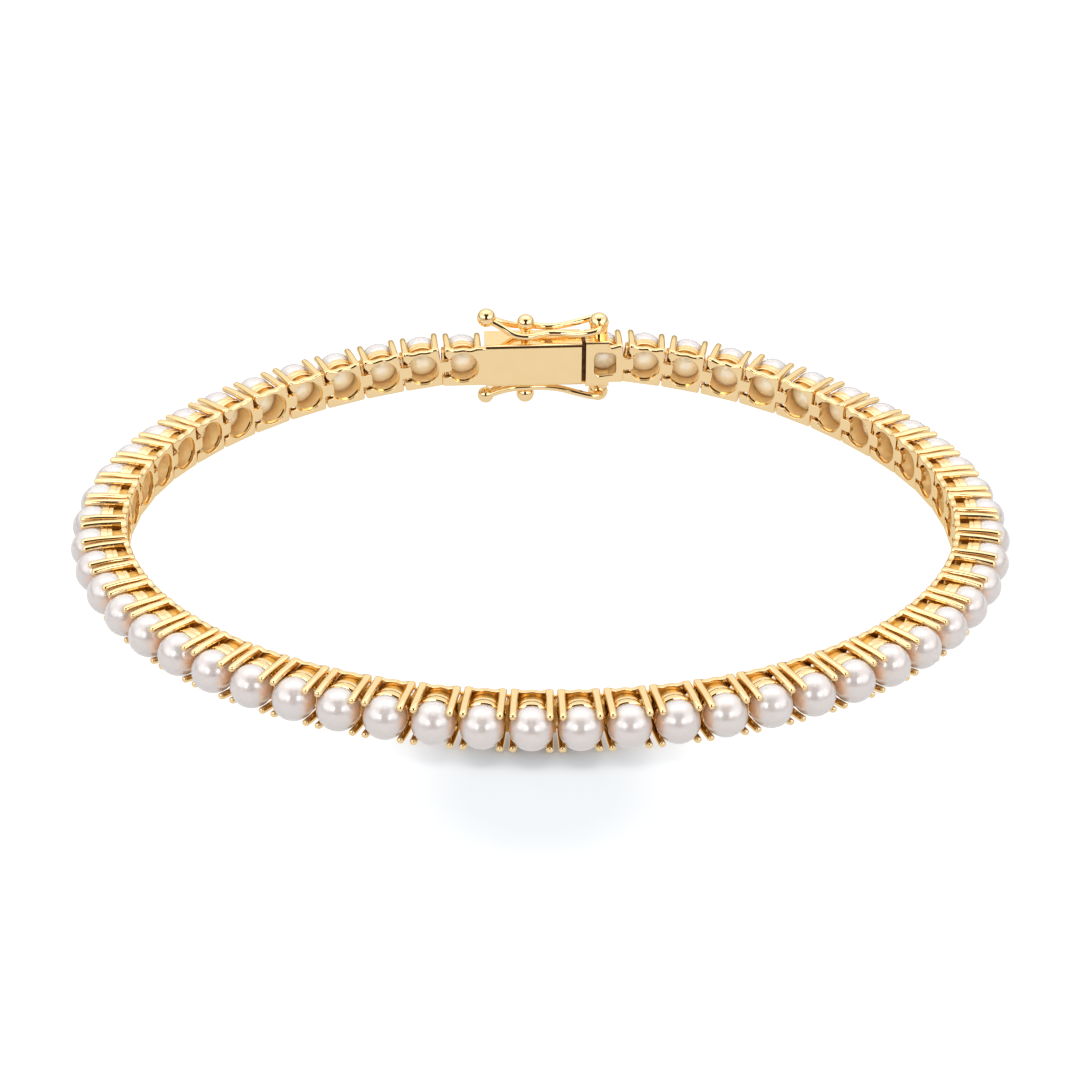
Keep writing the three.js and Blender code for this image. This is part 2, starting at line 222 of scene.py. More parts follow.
FLOOR_HALF = 3.0
TABLE_GLOW = 0.79
TABLE_TO_CAMERA = 1.3
PLAIN_CENTRE = (-0.0025, -0.0325, 0)  # the plain part of the table, where the shadow shows
PLAIN_RANGE = (0.004, 0.014)

FRONT_LIGHT, BACK_LIGHT = 1.0, 1.1
HORIZON_LIGHT = 0.2
SOFTBOX_POWER = 0.8
KEY_POWER = 1.8
LAMP_POWER = 0.22
PANEL_POWER = 0.3
FILL_POWER = 0.75
FRONT = -4  # azimuth that the lights and the screen in front are set round
SCREEN_RADIUS = 0.45
SCREEN_HALF_WIDTHS = [(0, 19), (30, 19), (40, 24), (50, 38), (60, 50), (70, 55)]  # by elevation


# ---------------------------------------------------------------- the band's line


def share_between(value, start, end):
    """0 up to the start, 1 from the end on, and in proportion between them."""
    return min(max((value - start) / (end - start), 0), 1)


def band_line():
    """Points of the hinge line seen from above, and the distance run at each, from the clasp."""
    angle = np.linspace(0, 2 * np.pi, 3601)
    share = 1 + sum(
        even * np.cos(wave * angle) + odd * np.sin(wave * angle) for wave, even, odd in OVAL_SHAPE
    )
    x = -MEAN_RADIUS * share * np.sin(angle)
    y = MEAN_RADIUS * share * np.cos(angle)
    run = np.concatenate([[0], np.cumsum(np.hypot(np.diff(x), np.diff(y)))])
    return x, y, run


LINE_X, LINE_Y, LINE_RUN = band_line()
BAND_LENGTH = LINE_RUN[-1]
FIRST_PEARL_RUN = (BAND_LENGTH - (PEARL_COUNT - 1) * PITCH) / 2
CLIMB_START = FIRST_PEARL_RUN + PITCH / 2

box_low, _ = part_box("clasp_box")
end_low, end_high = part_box("clasp_end")
CLASP = Vector(
    (
        end_high.x / MM - (FIRST_PEARL_RUN + CAD_TONGUE_END),
        box_low.y / MM,
        (end_low.z + end_high.z) / 2 / MM,
    )
)
LEVEL = CLASP.z - CLIMB


def rise(run):
    """Height of the band's middle: level round the band, climbing to the clasp."""
    share = share_between(min(run, BAND_LENGTH - run), CLIMB_START, CLIMB_END)
    return LEVEL + CLIMB * (1 - math.sin(math.pi / 2 * share))


def point_at(run):
    """The point of the hinge line at a distance run from the clasp's middle."""
    run = run % BAND_LENGTH
    x = np.interp(run, LINE_RUN, LINE_X) + CLASP.x
    y = np.interp(run, LINE_RUN, LINE_Y) - LINE_Y[0] + HINGE_DEPTH + CLASP.y
    return Vector((x, y, rise(run)))


def link_frame(number):
    """Frame of setting 1 to 54, counted from the clasp's left end round the front."""
    if number in (1, PEARL_COUNT):
        side = -1 if number == 1 else 1
        return Matrix.Translation(CLASP + Vector((side * FIRST_PEARL_RUN, 0, 0)))
    run = FIRST_PEARL_RUN + (number - 1) * PITCH
    chord = 0.2
    along = (point_at(run - chord) - point_at(run + chord)).normalized()
    outward = Vector((0, 0, 1)).cross(along).normalized()
    up = along.cross(outward)
    place = point_at(run) - HINGE_DEPTH * outward
    return Matrix.Translation(place) @ Matrix((along, outward, up)).transposed().to_4x4()


# ---------------------------------------------------------------- meshes


def new_mesh(name, vertices, faces):
    """A mesh with all of its faces turned outwards."""
    mesh = bpy.data.meshes.new(name)
    mesh.from_pydata([tuple(v) for v in vertices], [], faces)
    mesh.validate()
    bm = bmesh.new()
    bm.from_mesh(mesh)
    bmesh.ops.recalc_face_normals(bm, faces=bm.faces)
    bm.to_mesh(mesh)
    bm.free()
    return mesh


def joined(meshes):
    """One mesh of several (mesh, matrix) pairs."""
    bm = bmesh.new()
    for mesh, matrix in meshes:
        start = len(bm.verts)
        bm.from_mesh(mesh)
        bm.verts.ensure_lookup_table()
        for vertex in bm.verts[start:]:
            vertex.co = matrix @ vertex.co
    out = bpy.data.meshes.new("joined")
    bm.to_mesh(out)
    bm.free()
    return out


def moved(mesh, x, y, z):
    """A copy of the mesh, shifted."""
    return joined([(mesh, Matrix.Translation((x, y, z)))])


def painted(mesh, place):
    """The mesh, all in the gold that has this place in the list."""
    for polygon in mesh.polygons:
        polygon.material_index = place
    return mesh


def hollowed(mesh, other):
    """The mesh without what the other one fills."""
    holder = bpy.data.objects.new("holder", mesh)
    tool = bpy.data.objects.new("tool", other)
    for item in (holder, tool):
        bpy.context.scene.collection.objects.link(item)
    modifier = holder.modifiers.new("boolean", "BOOLEAN")
    modifier.operation = "DIFFERENCE"
    modifier.object = tool
    modifier.solver = "EXACT"
    graph = bpy.context.evaluated_depsgraph_get()
    out = bpy.data.meshes.new_from_object(holder.evaluated_get(graph))
    for item in (holder, tool):
        bpy.data.objects.remove(item)
    return out


def even_rim(x, z):
    """The usual rim: one small radius all round."""
    return EDGE_RADIUS, EDGE_RADIUS


def rounded_slab(loops, y0, y1, rim=even_rim, back=0.05):
    """A flat part from y0 to y1: an outline in x and z, counter-clockwise, and holes in it.

    The edges at y0 are rounded by radii in x and z that rim gives for each point of the outline,
    and those at y1 by back.
    """
    vertices, faces = [], []
    steps = [math.radians(a) for a in (90, 68, 45, 22, 0)]
    front, rear = [], []
    for number, loop in enumerate(loops):
        loop = [Vector((x, z)) for x, z in (loop if number == 0 else loop[::-1])]
        count = len(loop)
        outward = []
        for i, point in enumerate(loop):
            before = (point - loop[i - 1]).normalized()
            after = (loop[(i + 1) % count] - point).normalized()
            first, second = Vector((before.y, -before.x)), Vector((after.y, -after.x))
            outward.append((first + second) / max(1 + first.dot(second), 0.5))
        rings = []
        for a in steps:
            ring = []
            for point, n in zip(loop, outward):
                rx, rz = rim(*point)
                inset = 1 - math.cos(a)
                depth = max(rx, rz) * (1 - math.sin(a))
                ring.append((point.x - n.x * rx * inset, y0 + depth, point.y - n.y * rz * inset))
            rings.append(ring)
        for a in reversed(steps):
            ring = []
            for point, n in zip(loop, outward):
                inset = back * (1 - math.cos(a))
                depth = back * (1 - math.sin(a))
                ring.append((point.x - n.x * inset, y1 - depth, point.y - n.y * inset))
            rings.append(ring)
        start = len(vertices)
        vertices += [corner for ring in rings for corner in ring]
        for r in range(len(rings) - 1):
            for i in range(count):
                k = (i + 1) % count
                a, b = start + r * count, start + (r + 1) * count
                faces.append([a + i, a + k, b + k, b + i])
        front.append(list(range(start, start + count)))
        rear.append(list(range(start + (len(rings) - 1) * count, start + len(rings) * count)))
    for cap in (front, rear):
        flat = [[Vector((vertices[v][0], vertices[v][2], 0)) for v in ring] for ring in cap]
        order = [v for ring in cap for v in ring]
        for triangle in tessellate_polygon(flat):
            faces.append([order[t] for t in triangle])
    return new_mesh("slab", vertices, faces)


def swept(sections, closed):
    """Facets between the corners of one section and the next, with caps where it isn't closed."""
    sides = len(sections[0])
    vertices = [corner for section in sections for corner in section]
    faces = []
    for i in range(len(sections) if closed else len(sections) - 1):
        a = i * sides
        b = (i + 1) % len(sections) * sides
        for k in range(sides):
            m = (k + 1) % sides
            faces.append([a + k, a + m, b + m, b + k])
    if not closed:
        faces.append(list(range(sides - 1, -1, -1)))
        faces.append(list(range(len(vertices) - sides, len(vertices))))
    return new_mesh("swept", vertices, faces)


def turned(profile, segments):
    """A closed profile of (radius, y) turned about the y axis."""
    sections = []
    for i in range(segments):
        angle = 2 * math.pi * i / segments
        sections.append([(r * math.cos(angle), y, r * math.sin(angle)) for r, y in profile])
    return swept(sections, True)


def ball(radius, segments=40, rings=24):
    """A ball with its poles on the y axis."""
    bm = bmesh.new()
    bmesh.ops.create_uvsphere(bm, u_segments=segments, v_segments=rings, radius=radius)
    bmesh.ops.rotate(bm, verts=bm.verts, matrix=Matrix.Rotation(math.pi / 2, 3, "X"))
    mesh = bpy.data.meshes.new("ball")
    bm.to_mesh(mesh)
    bm.free()
    return mesh


def post(radius, length, x, y, z, sides=24):
    """An upright round bar, from z upwards or, with a negative length, downwards."""
    sections = []
    for height in (z, z + length):
        ring = []
        for k in range(sides):
            angle = 2 * math.pi * k / sides
            ring.append((x + radius * math.cos(angle), y + radius * math.sin(angle), height))
        sections.append(ring)
    return swept(sections, False)


def block(x0, x1, y0, y1, z0, z1):
    """A box between limits in x, y and z."""
    corners = ((x0, z0), (x1, z0), (x1, z1), (x0, z1))
    return swept([[(x, y, z) for x, z in corners] for y in (y0, y1)], False)


def arc(centre, radius, start, end, steps):
    """Points on a circle in x and z, from one angle in degrees to another."""
    angles = np.radians(np.linspace(start, end, steps))
    return [(centre[0] + radius * math.cos(a), centre[1] + radius * math.sin(a)) for a in angles]


# ---------------------------------------------------------------- one setting


def plate_rim(x, z):
    """The rim of a plate's inner face is rounder above and below than at its sides and hole."""
    radius = EDGE_RADIUS + (RIM_RADIUS - EDGE_RADIUS) * share_between(abs(z), RIM_START, RIM_END)
    return radius, radius


def wavy_edge(x):
    """Height of the plate's top edge, which dips to either side of its middle."""
    reach = min(abs(x) / EDGE_WAVE["half_width"], 1)
    middle = EDGE_WAVE["middle"] * (1 - reach**2)
    return PLATE_HALF_HEIGHT - middle - EDGE_WAVE["sides"] * math.sin(math.pi * reach) ** 2


def plate_outline(slot=True, right=PLATE_HALF_WIDTH):
    """The plate, counter-clockwise in x and z.

    With a slot it is open from its left side to its hole, where the next tongue enters, and its
    foot reaches out below that. It has a tongue at its right, unless it goes on to some other
    right edge there.
    """
    w, h, corner, tip = PLATE_HALF_WIDTH, PLATE_HALF_HEIGHT, PLATE_CORNER, TONGUE_CORNER
    edge = np.linspace(-w + corner, w - corner, 33)
    foot = -w - (FOOT_REACH if slot else 0)
    outline = [(foot + corner, -h)]
    if right == w:
        outline += arc((w - corner, -h + corner), corner, -90, 0, 5)
        outline += [(w, TONGUE_BOTTOM)]
        outline += arc((TONGUE_END - tip, TONGUE_BOTTOM + tip), tip, -90, 0, 6)
        outline += arc((TONGUE_END - tip, TONGUE_TOP - tip), tip, 0, 90, 6)
        outline += [(w, TONGUE_TOP)]
        outline += arc((w - corner, h - corner), corner, 0, 90, 5)[:-1]
    else:
        outline += [(right, -h), (right, h)]
    if slot:
        left = -w + LOBE_SETBACK
        upper, lower = SLOT_CORNERS
        outline += [(x, wavy_edge(x)) for x in edge[::-1] if x > left + corner]
        outline += arc((left + corner, h - corner), corner, 90, 180, 5)
        outline += arc((left + upper, SLOT_TOP + upper), upper, 190, 262, 8)
        start = 180 - math.degrees(math.asin(SLOT_TOP / HOLE_RADIUS))
        end = 180 + math.degrees(math.asin(-SLOT_BOTTOM / HOLE_RADIUS))
        outline += arc((0, 0), HOLE_RADIUS, start, end - 360, 60)
        outline += arc((foot + lower, SLOT_BOTTOM - lower), lower, 90, 180, 5)
    else:
        outline += [(x, wavy_edge(x)) for x in edge[::-1]]
        outline += arc((-w + corner, h - corner), corner, 90, 180, 5)[1:]
    outline += arc((foot + corner, -h + corner), corner, 180, 270, 5)[:-1]
    return outline


def prong(side, level):
    """A bar from the plate, along the basket and over the pearl, with a rounded bead at its end.

    side is 1 at the right and -1 at the left, and level is 1 above and -1 below.
    """
    root, bead = PRONG_ROOT, PRONG_BEAD
    bead_start = PRONG_END - bead
    stations = [0.004, 0.02, 0.05, 0.09, 0.14, root]
    stations += list(np.linspace(0.4, 3.0, 14)) + [3.1, bead_start]
    stations += [bead_start + bead * math.sin(math.radians(a)) for a in (25, 45, 60, 72, 81, 88)]
    sections = []
    for y in stations:
        bend = max(y - BEND_START, 0) / BEND_RUN
        half_width = PRONG_HALF_WIDTH - PRONG_NARROWING * (y / PRONG_END)
        half_height = PRONG_HALF_HEIGHT - PRONG_THINNING * (y / PRONG_END)
        top = PLATE_HALF_HEIGHT + PRONG_LIFT - PRONG_BEND * bend**2
        if y < root:
            cap = math.sqrt(root**2 - (root - y) ** 2) / root
            top -= root * (1 - cap)
            half_width *= 0.5 + 0.5 * cap
        shrink = 1
        if y > bead_start:
            shrink = max(1 - ((y - bead_start) / bead) ** BLUNTNESS, 0.0004) ** (1 / BLUNTNESS)
        centre_x = PRONG_ROOT_X + (PRONG_TIP_X - PRONG_ROOT_X) * (y / PRONG_END)
        centre_z = top - half_height
        # The section is a superellipse, squarer near the plate and nearly round at the bead.
        power = 0.45 + 0.4 * share_between(y, 0.4, 0.9) + 0.1 * share_between(y, 2.8, 3.3)
        section = []
        for k in range(24):
            angle = 2 * math.pi * (k + 0.5) / 24
            c, s = math.cos(angle), math.sin(angle)
            x = half_width * shrink * math.copysign(abs(c) ** power, c)
            z = half_height * shrink * math.copysign(abs(s) ** power, s)
            section.append((side * (centre_x + x), y, level * (centre_z + z)))
        sections.append(section)
    return swept(sections, False)


def gallery():
    """The tube behind the pearl, with painted shade in the groove outside and cast gold inside."""
    mesh = turned(TUBE_PROFILE, 72)
    for polygon in mesh.polygons:
        strip = polygon.index % len(TUBE_PROFILE)
        if strip == GROOVE_STRIP:
            polygon.material_index = GROOVE_SHADE
        elif strip >= FIRST_CAST_STRIP:
            polygon.material_index = CAST
    return mesh


def hinge_pin():
    """The pin that the next tongue turns on, with its beads and the bearer behind it."""
    x, depth, half_height = PIN["x"], PIN["depth"], PIN["half_height"]
    parts = [post(PIN["radius"], 2 * half_height, x, depth, -half_height)]
    parts += [moved(ball(PIN["bead"], 16, 10), x, depth, z) for z in PIN_BEADS]
    # The bearer has the grooves' painted shade.
    parts.append(painted(block(*BEARER), GROOVE_SHADE))
    return joined([(part, Matrix()) for part in parts])


def basket():
    """The parts of a setting behind and beside its pearl, without its plate."""
    return [gallery(), *(prong(side, level) for side in (1, -1) for level in (1, -1))]


def setting():
    """A whole setting without its pearl, in its own frame."""
    plate = rounded_slab([plate_outline()], 0, PLATE_THICKNESS, plate_rim)
    return joined([(part, Matrix()) for part in (plate, hinge_pin(), *basket())])


# ---------------------------------------------------------------- clasp


def window_outline():
    """The rounded window in the end block, counter-clockwise in x and z."""
    x, corner = WINDOW["x"], WINDOW["corner"]
    w, h = WINDOW["half_width"] - corner, WINDOW["half_height"] - corner
    return (
        arc((x + w, -h), corner, -90, 0, 6)
        + arc((x + w, h), corner, 0, 90, 6)
        + arc((x - w, h), corner, 90, 180, 6)
        + arc((x - w, -h), corner, 180, 270, 6)
    )


def box_rim(x, z):
    """The box's inner face runs on into the first plate at its left, without an edge."""
    side, level = BOX_RIM
    return (side if x > 0 else 0), level


def clasp_box_mesh():
    """The box with its cavity, the first setting at its left, and a ball stud above and below."""
    corners = ((-1, -1), (1, -1), (1, 1), (-1, 1))
    outline = [(x * BOX_HALF_WIDTH, z * BOX_HALF_HEIGHT) for x, z in corners]
    body = rounded_slab([outline], 0, BOX_DEPTH, box_rim)
    pieces = [(hollowed(body, block(*BOX_CAVITY)), Matrix())]
    shift = Matrix.Translation((-FIRST_PEARL_RUN, 0, 0))
    outline = plate_outline(right=FIRST_PEARL_RUN - BOX_HALF_WIDTH + SUNK)
    plate = rounded_slab([outline], FLUSH, PLATE_THICKNESS, plate_rim)
    pieces += [(part, shift) for part in (plate, hinge_pin(), *basket())]
    x, top = STUD["x"], STUD["z"]
    foot = BOX_HALF_HEIGHT - STUD["sunk"]
    for sign in (1, -1):
        stem = post(STUD["post"], sign * (top - foot), x, CATCH_DEPTH, sign * foot)
        pieces.append((stem, Matrix()))
        pieces.append((ball(STUD["ball"]), Matrix.Translation((x, CATCH_DEPTH, sign * top))))
    return joined(pieces)


def lug(sign):
    """An upright round ear with a ball on top, and collars round the catch's wire at its sides."""
    x, top = LUG["x"], LUG["z"]
    base = BLOCK["half_height"] - SUNK
    ear = post(LUG["radius"], sign * (top - base), x, CATCH_DEPTH, sign * base, 48)
    collar = turned(LUG_COLLAR, 40)
    place = Matrix.Translation((x, CATCH_DEPTH, sign * LUG["bore"]))
    back_place = place @ Matrix.Rotation(math.pi, 4, "Z")
    cap = Matrix.Translation((x, CATCH_DEPTH, sign * top))
    return joined(
        [(ear, Matrix()), (collar, place), (collar, back_place), (ball(LUG["ball"]), cap)]
    )


def end_outline():
    """The end block and the last plate beyond it, with its tongue, in one outline."""
    left, right, h = BLOCK["left"], BLOCK["right"], BLOCK["half_height"]
    plate = [(x + FIRST_PEARL_RUN, z) for x, z in plate_outline(slot=False)]
    right_part = [(x, z) for x, z in plate if x > right + OVERLAP]
    low = [point for point in right_part if point[1] < 0]
    high = [point for point in right_part if point[1] >= 0]
    return (
        [(left, -h), (right, -h), (right, -PLATE_HALF_HEIGHT)]
        + low
        + high
        + [(right, PLATE_HALF_HEIGHT), (right, h), (left, h)]
    )


def end_rim(x, z):
    """The block has a wide rim above and below, and the plate beyond it a plate's rim."""
    if x < BLOCK["right"] + 0.01:
        return BLOCK_RIM
    return plate_rim(x, z)


def clasp_end_mesh():
    """The end block with its window, tongue and lugs, and the last setting at its right."""
    left, right, h = BLOCK["left"], BLOCK["right"], BLOCK["half_height"]
    window = window_outline()
    face = rounded_slab([end_outline(), window], 0, PLATE_THICKNESS, end_rim, 0.01)
    inside = [(x, z) for x, z in window if x < right - OVERLAP]
    low = sorted((point for point in inside if point[1] < 0), reverse=True)
    high = sorted(point for point in inside if point[1] >= 0)
    mouth = [(right, -WINDOW["half_height"]), *low, *high, (right, WINDOW["half_height"])]
    outline = [(left, -h), (right, -h), *mouth, (right, h), (left, h)]
    body = rounded_slab([outline], PLATE_THICKNESS - OVERLAP, BLOCK["frame_depth"])
    pieces = [(face, Matrix()), (body, Matrix())]
    seat = PEARL_RADIUS + SEAT_GAP
    for sign in (1, -1):
        cheek = [(right, h), (left, h)]
        for x in np.linspace(left, right, 13):
            cheek.append((x, math.sqrt(seat**2 - (x - FIRST_PEARL_RUN) ** 2)))
        if sign < 0:
            cheek = [(x, -z) for x, z in reversed(cheek)]
        cheek = rounded_slab([cheek], BLOCK["frame_depth"] - OVERLAP, BLOCK["depth"])
        pieces += [(cheek, Matrix()), (lug(sign), Matrix())]
    pieces.append((block(*CLASP_TONGUE), Matrix()))
    # The collar in the joint is gold painted dark as shade.
    pieces.append((painted(block(*CLASP_COLLAR), JOINT_SHADE), Matrix()))
    shift = Matrix.Translation((FIRST_PEARL_RUN, 0, 0))
    pieces += [(part, shift) for part in basket()]
    return joined(pieces)


# ---------------------------------------------------------------- safety catches


def between(first, second, t, start, end):
    """The point at t on a line from the first point, at start, to the second, at end."""
    return first + (second - first) * ((t - start) / (end - start))


def smooth_loop(points, steps):
    """A closed centripetal Catmull-Rom curve through the points, at even steps along it."""
    points = [Vector(p) for p in points]
    count = len(points)
    dense = []
    for i in range(count):
        p = [points[(i + k - 1) % count] for k in range(4)]
        knots = [0.0]
        for k in range(3):
            knots.append(knots[-1] + math.sqrt((p[k + 1] - p[k]).length))
        for t in np.linspace(knots[1], knots[2], 24, endpoint=False):
            a = [between(p[k], p[k + 1], t, knots[k], knots[k + 1]) for k in range(3)]
            b = [between(a[k], a[k + 1], t, knots[k], knots[k + 2]) for k in range(2)]
            dense.append(between(b[0], b[1], t, knots[1], knots[2]))
    return even_steps(dense, steps)


def even_steps(points, steps):
    """Points at even steps along a closed line of points."""
    data = np.array([tuple(p) for p in points] + [tuple(points[0])])
    run = np.concatenate([[0], np.cumsum(np.linalg.norm(np.diff(data, axis=0), axis=1))])
    at = np.linspace(0, run[-1], steps, endpoint=False)
    return [Vector([np.interp(a, run, data[:, k]) for k in range(3)]) for a in at]


def closed_wire(points, radius):
    """A round wire along a closed line of points."""
    count, sides = len(points), 18
    sections = []
    for i, point in enumerate(points):
        tangent = (points[(i + 1) % count] - points[i - 1]).normalized()
        side = Vector((0, 0, 1)).cross(tangent).normalized()
        up = tangent.cross(side)
        section = []
        for k in range(sides):
            angle = 2 * math.pi * k / sides
            section.append(point + radius * (math.cos(angle) * side + math.sin(angle) * up))
        sections.append(section)
    return swept(sections, True)


def catch_mesh(sign):
    """The safety catch above the clasp (1) or below it (-1): a figure-eight with a thumb end."""
    line = UPPER_LINE if sign > 0 else LOWER_LINE
    near = [(x, CATCH_DEPTH - side, sign * z) for x, side, z in line]
    far = [(x, CATCH_DEPTH + side, sign * z) for x, side, z in reversed(line[1:])]
    wire = closed_wire(smooth_loop(near + far, 160), WIRE_RADIUS)
    thumb = UPPER_THUMB if sign > 0 else LOWER_THUMB
    place = Matrix.Translation((thumb["x"], CATCH_DEPTH, sign * thumb["z"]))
    return joined([(wire, Matrix()), (ball(thumb["radius"]), place)])


# ---------------------------------------------------------------- materials


def node_material(name):
    """A new material with nodes, its node tree, and its shader."""
    material = bpy.data.materials.new(name)
    material.use_nodes = True
    tree = material.node_tree
    shader = tree.nodes["Principled BSDF"]
    return material, tree, shader


def noise(tree, scale, detail=2.0):
    """A noise in the object's own space."""
    place = tree.nodes.new("ShaderNodeTexCoord")
    texture = tree.nodes.new("ShaderNodeTexNoise")
    texture.inputs["Scale"].default_value = scale
    texture.inputs["Detail"].default_value = detail
    tree.links.new(place.outputs["Object"], texture.inputs["Vector"])
    return texture.outputs["Fac"]


def mapped(tree, source, given, wanted=(0, 1), smooth=False):
    """The source with its given range spread over the wanted one, and held to that one's ends."""
    node = tree.nodes.new("ShaderNodeMapRange")
    if smooth:
        node.interpolation_type = "SMOOTHSTEP"
    for name, value in zip(("From Min", "From Max", "To Min", "To Max"), (*given, *wanted)):
        node.inputs[name].default_value = value
    tree.links.new(source, node.inputs["Value"])
    return node.outputs["Result"]


def ranged(tree, source, low, high):
    """The noise, which lies mostly between 0.3 and 0.7, spread from low to high."""
    return mapped(tree, source, (0.3, 0.7), (low, high))


def fill(tree, socket, value):
    """Sets a socket to a value, or links it to another node's output."""
    if isinstance(value, bpy.types.NodeSocket):
        tree.links.new(value, socket)
    else:
        socket.default_value = value


def calculated(tree, operation, first, second):
    """An operation on two values, each a number or another node's output."""
    node = tree.nodes.new("ShaderNodeMath")
    node.operation = operation
    fill(tree, node.inputs[0], first)
    fill(tree, node.inputs[1], second)
    return node.outputs["Value"]


def mixed(tree, factor, first, second, blend="MIX"):
    """Two colours, each fixed or another node's output, mixed by a factor."""
    node = tree.nodes.new("ShaderNodeMix")
    node.data_type = "RGBA"
    node.blend_type = blend
    fill(tree, node.inputs["Factor"], factor)
    fill(tree, node.inputs["A"], first)
    fill(tree, node.inputs["B"], second)
    return node.outputs["Result"]


def two_tones(tree, source, first, second):
    """Two colours mixed by a noise."""
    return mixed(tree, ranged(tree, source, 0, 1), (*first, 1), (*second, 1))


def bumped(tree, shader, source, distance, strength):
    """Raises a noise on the shader's surface."""
    bump = tree.nodes.new("ShaderNodeBump")
    bump.inputs["Distance"].default_value = distance
    bump.inputs["Strength"].default_value = strength
    tree.links.new(source, bump.inputs["Height"])
    tree.links.new(bump.outputs["Normal"], shader.inputs["Normal"])


def gold(name, tones, tone_scale, haze, haze_scale, metallic=1.0, bump=None):
    """Gold of two tones that a noise mixes, with a range of roughness.

    The bump is the scale of its fine marks, their distance and their strength.
    """
    material, tree, shader = node_material(name)
    shader.inputs["Metallic"].default_value = metallic
    tone = two_tones(tree, noise(tree, tone_scale), *tones)
    tree.links.new(tone, shader.inputs["Base Color"])
    roughness = ranged(tree, noise(tree, haze_scale, 4), *haze)
    tree.links.new(roughness, shader.inputs["Roughness"])
    if bump:
        scale, distance, strength = bump
        bumped(tree, shader, noise(tree, scale, 3), distance, strength)
    return material


def polished_gold():
    """18 carat yellow gold, with the faint waviness and haze that a polishing wheel leaves."""
    material = gold(
        "polished_gold",
        tones=((0.96, 0.715, 0.39), (0.945, 0.7, 0.375)),
        tone_scale=900,
        haze=(0.07, 0.14),
        haze_scale=1600,
        bump=(700, 0.00002, 0.25),
    )
    shader = material.node_tree.nodes["Principled BSDF"]
    shader.inputs["Specular Tint"].default_value = (0.95, 0.85, 0.62, 1)
    return material


def cast_gold():
    """The same gold inside the tubes, where a polishing wheel can't reach."""
    return gold(
        "cast_gold",
        tones=((1.0, 0.78, 0.43), (0.97, 0.72, 0.36)),
        tone_scale=1500,
        haze=(0.3, 0.45),
        haze_scale=2500,
        metallic=0.6,
        bump=(2500, 0.00004, 0.5),
    )


def joint_shade_gold():
    """Rough gold painted dark as shade, deep in the joint that the clasp closes on."""
    return gold(
        "joint_shade_gold",
        tones=((0.2, 0.1, 0.04), (0.14, 0.065, 0.025)),
        tone_scale=2500,
        haze=(0.5, 0.6),
        haze_scale=2500,
    )


def groove_shade_gold():
    """Rough gold painted dark amber as shade, deep in the grooves and joints behind the plates."""
    return gold(
        "groove_shade_gold",
        tones=((0.8, 0.48, 0.13), (0.62, 0.34, 0.075)),
        tone_scale=2200,
        haze=(0.4, 0.55),
        haze_scale=2500,
        bump=(2600, 0.00005, 0.6),
    )


def nacre():
    """White nacre: a soft body with a rosy and a creamy tone, under a clear lustre."""
    material, tree, shader = node_material("nacre")
    tone = two_tones(tree, noise(tree, 220), (0.465, 0.425, 0.42), (0.465, 0.43, 0.41))
    # The tone is multiplied by the pearl's painted light: warm gold reflection at the sides, light
    # at the back.
    painted_light = tree.nodes.new("ShaderNodeAttribute")
    painted_light.attribute_name = "painted_light"
    painted_tone = mixed(tree, 1, tone, painted_light.outputs["Color"], "MULTIPLY")
    tree.links.new(painted_tone, shader.inputs["Base Color"])
    shader.inputs["Subsurface Weight"].default_value = 1.0
    shader.inputs["Subsurface Radius"].default_value = (1.0, 0.75, 0.6)
    shader.inputs["Subsurface Scale"].default_value = 0.0022
    shader.inputs["IOR"].default_value = 2.35
    shader.inputs["Coat Weight"].default_value = 1.0
    shader.inputs["Coat Roughness"].default_value = 0.18
    shader.inputs["Coat IOR"].default_value = 2.1
    haze = ranged(tree, noise(tree, 500), 0.28, 0.32)
    tree.links.new(haze, shader.inputs["Roughness"])
    return material


GOLDS = [polished_gold(), cast_gold(), joint_shade_gold(), groove_shade_gold()]
NACRE = [nacre()]


# ---------------------------------------------------------------- pieces


def add_piece(name, mesh, materials, body, node, place=Matrix()):
    """Adds a mesh in millimetres as a piece in metres that rides on a body and replaces a node."""
    mesh = joined([(mesh, Matrix.Scale(MM, 4) @ place)])
    mesh.name = name
    piece = bpy.data.objects.new(name, mesh)
    bpy.context.scene.collection.objects.link(piece)
    for material in materials:
        mesh.materials.append(material)
    mesh.shade_smooth()
    mesh.set_sharp_from_angle(angle=math.radians(CREASE))
    if materials is GOLDS:
        modifier = piece.modifiers.new("even_normals", "WEIGHTED_NORMAL")
        modifier.keep_sharp = True
        modifier.weight = 80
        graph = bpy.context.evaluated_depsgraph_get()
        piece.data = bpy.data.meshes.new_from_object(piece.evaluated_get(graph))
        piece.data.name = name
        piece.modifiers.clear()
    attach(piece, body)
    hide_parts(node)


